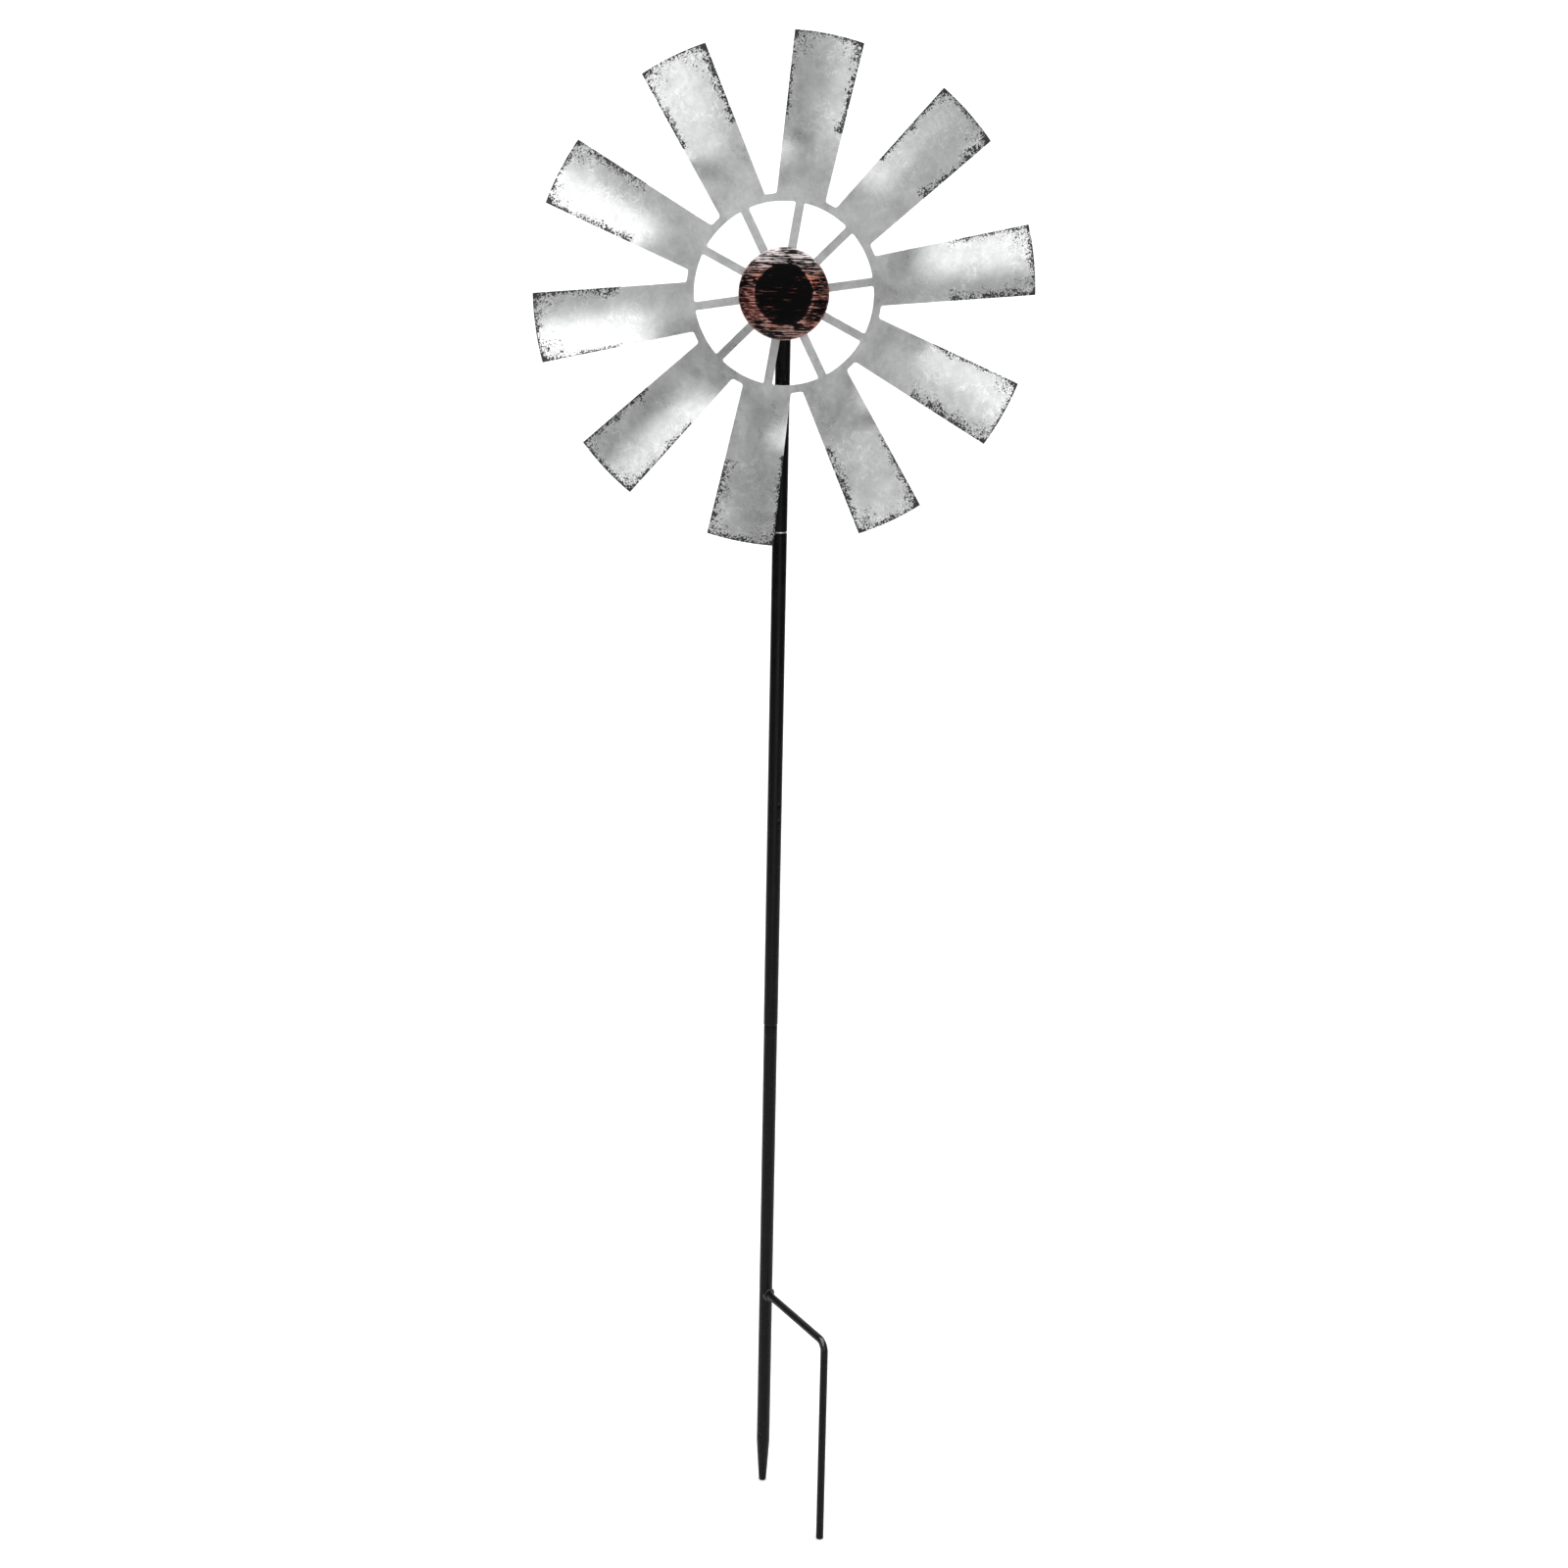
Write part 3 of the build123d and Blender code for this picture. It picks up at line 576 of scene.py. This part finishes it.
def make_rotor():
    """The sheet as an even mesh of triangles between its outline and its openings, then curled."""
    outline = np.array(outer_outline())
    holes = [np.array(window) for window in windows()]
    holes.append(np.array(arc((0, 0), HUB_HOLE_R, 0, 2 * math.pi, HOLE_GRID)[:-1]))
    # The flat faces stop short of the cut edges, which are rounded.
    loops = [grown(outline, -EDGE_ROUND)] + [grown(hole, EDGE_ROUND) for hole in holes]
    rows = np.arange(-TIP_RADIUS, TIP_RADIUS, GRID * math.sqrt(0.75))
    grid = []
    for number, up in enumerate(rows):
        shift = GRID / 2 if number % 2 else 0.0
        grid += [(right + shift, up) for right in np.arange(-TIP_RADIUS, TIP_RADIUS, GRID)]
    grid = np.array(grid)
    grid = grid[inside(grid, loops)]
    edge_gap = GRID * 0.62                  # keeps slivers out
    grid = grid[clear_of(grid, loops, edge_gap)]
    points = [Vector(point) for loop in loops for point in loop]
    edges = []
    for loop in loops:
        start = len(edges)
        edges += [(start + step, start + (step + 1) % len(loop)) for step in range(len(loop))]
    points += [Vector(point) for point in grid]
    merge_gap = 1e-6
    flat, _, triangles, origin, _, _ = delaunay_2d_cdt(points, edges, [], 0, merge_gap)
    flat = np.array([tuple(point) for point in flat])
    middles = flat[np.array(triangles)].mean(axis=1)
    kept = inside(middles, loops)
    triangles = [triangle for triangle, keep in zip(triangles, kept) if keep]
    place_of = {}
    for number, sources in enumerate(origin):
        for source in sources:
            place_of[source] = number

    front, back = SHEET_BACK / MM + SHEET, SHEET_BACK / MM
    lift = [curl(x, y) for x, y in flat]
    vertices = [wheel_point(x, y, front + rise) for (x, y), rise in zip(flat, lift)]
    vertices += [wheel_point(x, y, back + rise) for (x, y), rise in zip(flat, lift)]
    sheet_count = len(flat)
    faces = [tuple(triangle) for triangle in triangles]
    for triangle in triangles:
        faces.append(tuple(sheet_count + corner for corner in reversed(triangle)))

    # Cut edges: a narrow wall between two rounded corners.
    flat_all = [tuple(point) for point in flat] * 2
    start = 0
    for loop, cut in zip(loops, [outline] + holes):
        first_wall = len(vertices)
        for level in (front - EDGE_ROUND, back + EDGE_ROUND):
            for x, y in cut:
                vertices.append(wheel_point(x, y, level + curl(x, y)))
                flat_all.append((x, y))
        count = len(loop)
        for step in range(count):
            beyond = (step + 1) % count
            rings = [
                (place_of[start + step], place_of[start + beyond]),
                (first_wall + step, first_wall + beyond),
                (first_wall + count + step, first_wall + count + beyond),
                (sheet_count + place_of[start + step], sheet_count + place_of[start + beyond]),
            ]
            for (near_a, near_b), (far_a, far_b) in zip(rings, rings[1:]):
                faces.append((near_a, far_a, far_b, near_b))
        start += count
    terms = [sheet_wear(x, y) for x, y in flat_all]
    attributes = {
        "wear": [wear for wear, _ in terms],
        "corner": [corner for _, corner in terms],
        "reach": [math.hypot(x, y) * MM for x, y in flat_all],
    }
    piece = make_object("rotor_sheet", vertices, faces, "wheel", "galvanised_sheet", attributes)
    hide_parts("rotor")


# ---- The hub dome, in millimetres --------------------------------------------------------------

RIDGE_R = 28.6              # where the crowned middle ends and the shoulder starts
CROWN = 0.9                 # how far the middle rises
DOME_GAUGE = 0.8
SHOULDER_FROM = 20          # the part of an oval that the shoulder follows, in degrees
SHOULDER_TO = 82
LIP_DEPTH = 4.2             # the turned-down lip, the bend above it and the rounding of its edge
LIP_ROUND = 1.3
LIP_DROP = 1.6
LIP_EDGE = 0.25
CENTRE_R = 0.02             # the profile stops just short of the axis


def make_dome():
    """A pressed shell: crowned middle, ridge, sloped shoulder and turned-down lip."""
    front, back = DOME_FRONT / MM, DOME_BACK / MM
    rim = DOME_R / MM
    outer = []
    crown_steps, shoulder_steps, lip_steps = 13, 14, 4
    for step in range(crown_steps):
        radius = RIDGE_R * step / crown_steps
        outer.append((front - CROWN * (radius / RIDGE_R) ** 2, radius))
    # The shoulder runs from the ridge to the lip along part of a flattened oval.
    lip_ahead, lip_r = back + LIP_DEPTH, rim - LIP_ROUND
    first, last = math.radians(SHOULDER_FROM), math.radians(SHOULDER_TO)
    for step in range(shoulder_steps + 1):
        turn = math.radians(SHOULDER_FROM + (SHOULDER_TO - SHOULDER_FROM) * step / shoulder_steps)
        share = (math.sin(turn) - math.sin(first)) / (math.sin(last) - math.sin(first))
        drop = (math.cos(first) - math.cos(turn)) / (math.cos(first) - math.cos(last))
        radius = RIDGE_R + (lip_r - RIDGE_R) * share
        outer.append((front - CROWN - (front - CROWN - lip_ahead) * drop, radius))
    for step in range(1, lip_steps + 1):
        turn = math.radians(90 * step / lip_steps)
        ahead = lip_ahead - LIP_DROP * (1 - math.cos(turn))
        outer.append((ahead, lip_r + LIP_ROUND * math.sin(turn)))
    outer.append((back + 0.3, rim))
    outer.append((back, rim - LIP_EDGE))
    # The inner wall follows the outer one, a little nearer the axis on the slopes.
    inner = [(ahead - DOME_GAUGE, max(0.0, radius - DOME_GAUGE * 0.6)) for ahead, radius in outer[:-2]]
    inner = [(min(ahead, front - DOME_GAUGE), radius) for ahead, radius in inner if ahead > back + 0.5]
    inner.append((back, rim - DOME_GAUGE))
    profile = [(ahead, max(radius, CENTRE_R)) for ahead, radius in outer + inner[::-1]]
    vertices, faces = lathe(profile, 144)
    attributes = {
        "radial": [math.hypot(point.x, point.z - AXLE.z) for point in vertices],
        "height": [(point.z - AXLE.z) / DOME_R for point in vertices],
    }
    piece = make_object("hub_dome_shell", vertices, faces, "wheel", "dome_paint", attributes, 55.0)
    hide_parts("hub_dome")


# ---- Tubes, with rounded mouths and pressed dents ----------------------------------------------

STAKE_R = 7.15 * MM
MIDDLE_R = 7.5 * MM
TUBE_BORE = 6.0 * MM
MOUTH_ROUND = 0.7 * MM
DENT_R = 3.4 * MM
DENT_DEPTH = 0.75 * MM
POINT_LENGTH = 48 * MM      # the stake's swaged point
POINT_R = 4.1 * MM
NOSE_ROUND = 1.8 * MM
AXIS_R = 0.05 * MM          # a wall stops just short of the axis


def stations(low, high, dents):
    """Heights of a tube's rings: evenly spaced, and close together across each dent."""
    spacing, dent_spacing, dent_steps, least, far_below = 8 * MM, 0.5, 10, 0.2 * MM, -1.0
    heights = list(np.arange(low, high, spacing)) + [high]
    for height, _ in dents:
        heights += [height + step * dent_spacing * MM for step in range(-dent_steps, dent_steps + 1)]
    heights = sorted(height for height in heights if low <= height <= high)
    pairs = zip(heights, [far_below] + heights)
    return [height for height, before in pairs if height - before > least]


def quarter(first, last, steps):
    """Cosines and sines at equal steps of a quarter circle, from the first step to the last."""
    turns = [math.radians(90 * step / steps) for step in range(first, last + 1)]
    return [(math.cos(turn), math.sin(turn)) for turn in turns]


def make_tube(name, node, body, radius, dents=(), point=None):
    """A tube from its node's box: an outer wall with dents and an inner wall.

    dents are (height, turn) pairs, the turn in degrees from straight ahead towards +X. point is the
    (length, radius) of a swaged tip at the lower end, which is closed.
    """
    low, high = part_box(node)[0].z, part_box(node)[1].z
    profile = []                                     # (height, radius), outer wall upwards
    if point:
        length, tip_r = point
        for cos, sin in quarter(0, 5, 5):
            profile.append((low + NOSE_ROUND * (1 - cos), tip_r - NOSE_ROUND * (1 - sin)))
        taper_steps = 8
        for step in range(1, taper_steps + 1):
            share = step / taper_steps
            height = low + NOSE_ROUND + (length - NOSE_ROUND) * share
            profile.append((height, tip_r + (radius - tip_r) * share ** 0.9))
        start = low + length
        inner = [(low + length, TUBE_BORE), (low + 14 * MM, AXIS_R), (low, AXIS_R)]
    else:
        for cos, sin in quarter(0, 3, 4):
            profile.append((low + MOUTH_ROUND * (1 - cos), radius - MOUTH_ROUND * (1 - sin)))
        start = low + MOUTH_ROUND
        inner = [(low, TUBE_BORE)]
    heights = stations(start + 0.3 * MM, high - MOUTH_ROUND, dents)
    profile += [(height, radius) for height in heights]
    for cos, sin in quarter(1, 4, 4):
        profile.append((high - MOUTH_ROUND * (1 - sin), radius - MOUTH_ROUND * (1 - cos)))
    outer_count = len(profile)
    profile += [(high, TUBE_BORE)] + inner
    segments = 96
    vertices = []
    for step in range(segments):
        turn = 2 * math.pi * step / segments
        for index, (height, wall) in enumerate(profile):
            reach = wall
            if index < outer_count:
                for dent_height, dent_turn in dents:
                    swing = (turn - math.radians(dent_turn) + math.pi) % (2 * math.pi) - math.pi
                    gap = math.hypot(swing * radius, height - dent_height) / DENT_R
                    reach -= DENT_DEPTH * (1 - smooth(gap))
            vertices.append((reach * math.sin(turn), -reach * math.cos(turn), height))
    count = len(profile)
    faces = []
    for step in range(segments):
        beside = (step + 1) % segments
        for index in range(count):
            above = (index + 1) % count
            faces.append((step * count + index, beside * count + index,
                          beside * count + above, step * count + above))
    piece = make_object(name, vertices, faces, body, "pole_paint", angle=50.0)
    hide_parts(node)


# ---- Step arm, prong and weld ------------------------------------------------------------------

leg = next(mount for mount in frame["record"]["mounts"] if mount["name"] == "prong_leg")
ROD_R = leg["dims"]["r_mm"] * MM
ARM_REACH = math.hypot(leg["pos_m"][0], leg["pos_m"][1])
ARM_WAY = Vector((leg["pos_m"][0], leg["pos_m"][1], 0)).normalized()
ARM_SIDE = ARM_WAY.cross(Vector((0, 0, 1)))
BEND_R = 11 * MM
ARM_START = 4 * MM          # inside the tube
FOOT_BEVEL = MM             # the prong's cut end

BEAD = 1.7                  # radius of the weld's bead in millimetres, and what adds to it:
BEAD_HEAVY = 0.9            # on its heavy side,
BEAD_RIPPLE = 0.35          # at each ripple
BEAD_LUMP = 0.6             # and at a lump
HEAVY_TURN = math.radians(205)
RIPPLES = 11


def make_prong():
    """One bent rod: a level arm out of the tube, a bend and the upright prong."""
    path = []                               # (place, direction along the rod)
    down = Vector((0, 0, -1))
    arm_steps, bend_steps, leg_steps = 12, 24, 18
    for step in range(arm_steps + 1):
        reach = ARM_START + (ARM_REACH - BEND_R - ARM_START) * step / arm_steps
        path.append((ARM_WAY * reach, ARM_WAY))
    for cos, sin in quarter(1, bend_steps, bend_steps):
        place = ARM_WAY * (ARM_REACH - BEND_R + BEND_R * sin) + down * BEND_R * (1 - cos)
        path.append((place, ARM_WAY * cos + down * sin))
    for step in range(1, leg_steps + 1):
        drop = BEND_R + (-FLOOR_Z - BEND_R - FOOT_BEVEL) * step / leg_steps
        path.append((ARM_WAY * ARM_REACH + down * drop, down))
    segments = 56
    vertices, gloss = [], []
    for place, way in path:
        rise = way.cross(ARM_SIDE)
        bent = math.acos(max(0.0, min(1.0, way.dot(ARM_WAY))))
        shine = math.sin(2 * bent) ** 2     # most at the middle of the bend
        for step in range(segments):
            turn = 2 * math.pi * step / segments
            vertices.append(place + (ARM_SIDE * math.cos(turn) + rise * math.sin(turn)) * ROD_R)
            gloss.append(shine)
    foot = path[-1][0] + down * FOOT_BEVEL
    rise = down.cross(ARM_SIDE)
    for step in range(segments):
        turn = 2 * math.pi * step / segments
        way_out = ARM_SIDE * math.cos(turn) + rise * math.sin(turn)
        vertices.append(foot + way_out * (ROD_R - FOOT_BEVEL))
        gloss.append(0.0)
    rings = len(path) + 1
    faces = []
    for ring in range(rings - 1):
        for step in range(segments):
            beside = (step + 1) % segments
            faces.append((ring * segments + step, ring * segments + beside,
                          (ring + 1) * segments + beside, (ring + 1) * segments + step))
    faces.append(tuple(range(segments))[::-1])
    faces.append(tuple((rings - 1) * segments + step for step in range(segments)))
    piece = make_object("prong_rod", vertices, faces, "stake", "pole_paint", {"gloss": gloss}, 35.0)
    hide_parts("ground_prong")


def make_weld():
    """A rippled bead round the arm where it meets the tube, heavier on one side."""
    around_steps, section_steps = 160, 20
    vertices = []
    for step in range(around_steps):
        turn = 2 * math.pi * step / around_steps
        side, up = math.cos(turn), math.sin(turn)
        heavy = 0.5 + 0.5 * math.cos(turn - HEAVY_TURN)
        ripple = 0.5 + 0.5 * math.sin(turn * RIPPLES + 1.3 * math.sin(2 * turn))
        lump = noise.noise(Vector((side * 1.7, up * 1.7, 4.0)))
        bead = (BEAD + BEAD_HEAVY * heavy + BEAD_RIPPLE * ripple + BEAD_LUMP * lump) * MM
        spread = ROD_R + (0.1 + 1.4 * heavy) * MM
        across = side * spread
        reach = math.sqrt(max(0.0, STAKE_R ** 2 - across ** 2))
        centre = ARM_WAY * reach + ARM_SIDE * across + Vector((0, 0, up * spread))
        outwards = ARM_SIDE * side + Vector((0, 0, up))
        for part in range(section_steps):
            swing = 2 * math.pi * part / section_steps
            flattened = ARM_WAY * math.sin(swing) * 0.85
            vertices.append(centre + (outwards * math.cos(swing) + flattened) * bead)
    faces = []
    for step in range(around_steps):
        beside = (step + 1) % around_steps
        for part in range(section_steps):
            above = (part + 1) % section_steps
            faces.append((step * section_steps + part, beside * section_steps + part,
                          beside * section_steps + above, step * section_steps + above))
    gloss = {"gloss": [0.45] * len(vertices)}
    piece = make_object("prong_weld_bead", vertices, faces, "stake", "pole_paint", gloss, 80.0)
    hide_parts("prong_weld")


middle_low, middle_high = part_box("middle_tube")[0].z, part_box("middle_tube")[1].z
make_tube("stake_tube", "ground_tube", "stake", STAKE_R,
          [(FLOOR_Z + 56 * MM, -32)], (POINT_LENGTH, POINT_R))
make_tube("middle_pole", "middle_tube", "pole_middle", MIDDLE_R,
          [(middle_low + 16 * MM, 2), (middle_high - 280 * MM, 42), (middle_high - 297 * MM, 42)])
make_prong()
make_weld()
make_rotor()
make_dome()

# ---- Carried-over parts get their finish -------------------------------------------------------

for entry in frame["record"]["subparts"]:
    node = frame["nodes"][entry["node"]]
    node.data.materials.clear()
    node.data.materials.append(materials[entry["material_slot"]])

# ---- Floor, lights and camera ------------------------------------------------------------------


def make_backdrop():
    """A pale studio sweep: a floor that curves up into a wall."""
    near, far, bend, top, half = -3.6, 2.4, 1.2, 4.2, 4.5
    profile = [(near, FLOOR_Z)]
    for cos, sin in quarter(0, 24, 24):
        profile.append((far - bend + bend * sin, FLOOR_Z + bend * (1 - cos)))
    profile.append((far, top))
    vertices = [(side, y, z) for y, z in profile for side in (-half, half)]
    starts = range(0, 2 * len(profile) - 2, 2)
    faces = [(start, start + 1, start + 3, start + 2) for start in starts]
    mesh = bpy.data.meshes.new("studio_sweep")
    mesh.from_pydata(vertices, [], faces)
    mesh.shade_smooth()
    n = Nodes("studio_paper")
    n.set(Base_Color=(0.93, 0.93, 0.93), Roughness=0.9, Specular_IOR_Level=0.1)
    mesh.materials.append(n.material)
    sweep = bpy.data.objects.new("studio_sweep", mesh)
    bpy.context.scene.collection.objects.link(sweep)


def softbox(name, place, target, width, height, glow):
    """A rectangular light: glow is the brightness of its face."""
    data = bpy.data.lights.new(name, "AREA")
    data.shape = "RECTANGLE"
    data.size, data.size_y = width, height
    data.energy = glow * math.pi * width * height
    lamp = bpy.data.objects.new(name, data)
    lamp.location = place
    towards = Vector(target) - Vector(place)
    lamp.rotation_euler = towards.to_track_quat("-Z", "Y").to_euler()
    lamp.visible_camera = False
    bpy.context.scene.collection.objects.link(lamp)


def around(distance, side, rise):
    """A place in front of the wheel, by metres away and degrees to the right and upwards."""
    side, rise = math.radians(side), math.radians(rise)
    flat = distance * math.cos(rise)
    return hub + Vector((flat * math.sin(side), -flat * math.cos(side), distance * math.sin(rise)))


make_backdrop()
hub = AXLE + Vector((0, -SHEET_BACK, 0))
softbox("overhead", (0, -0.9, 3.5), (0, -0.9, 0), 5.0, 3.6, 2.5)
softbox("backdrop", (0, 0.7, 3.4), (0, 1.7, 0.6), 4.8, 0.9, 6.5)
softbox("side_left", around(2.6, -62, 10), hub, 1.5, 1.7, 0.25)
softbox("side_right", around(2.6, 64, 5), hub, 1.5, 1.7, 0.3)
softbox("key", around(2.5, -5, 22), hub, 1.2, 0.85, 2.15)
softbox("sky_left", around(2.5, -25, 14), hub, 1.05, 0.95, 2.0)
softbox("sky_right", around(2.5, 17, 22), hub, 1.1, 0.9, 1.15)
softbox("low_mid", around(2.1, -7, -25), hub, 0.8, 0.8, 1.0)
softbox("low_right", around(2.1, 17, -17), hub, 0.9, 0.8, 1.75)

WORLD_GLOW = 0.09
world = bpy.data.worlds.new("studio")
bpy.context.scene.world = world
world.use_nodes = True
background = world.node_tree.nodes["Background"]
background.inputs["Color"].default_value = (1.0, 1.0, 1.0, 1.0)
background.inputs["Strength"].default_value = WORLD_GLOW
bpy.context.scene.view_settings.view_transform = "Standard"

CAMERA_DISTANCE = 2.15      # from the wheel's sheet
CAMERA_PITCH = 12.68        # degrees down
CAMERA_ROLL = 1.1
CAMERA_SIDE = 0.0092
LENS = 50
SENSOR = 36
camera_data = bpy.data.cameras.new("camera")
camera_data.lens = LENS
camera_data.sensor_width = SENSOR
camera = bpy.data.objects.new("camera", camera_data)
tilt = Matrix.Rotation(math.radians(90 - CAMERA_PITCH), 4, "X")
roll = Matrix.Rotation(math.radians(CAMERA_ROLL), 4, "Z")
stand = Matrix.Translation(hub + Vector((CAMERA_SIDE, -CAMERA_DISTANCE, 0)))
camera.matrix_world = stand @ tilt @ roll
bpy.context.scene.collection.objects.link(camera)
bpy.context.scene.camera = camera
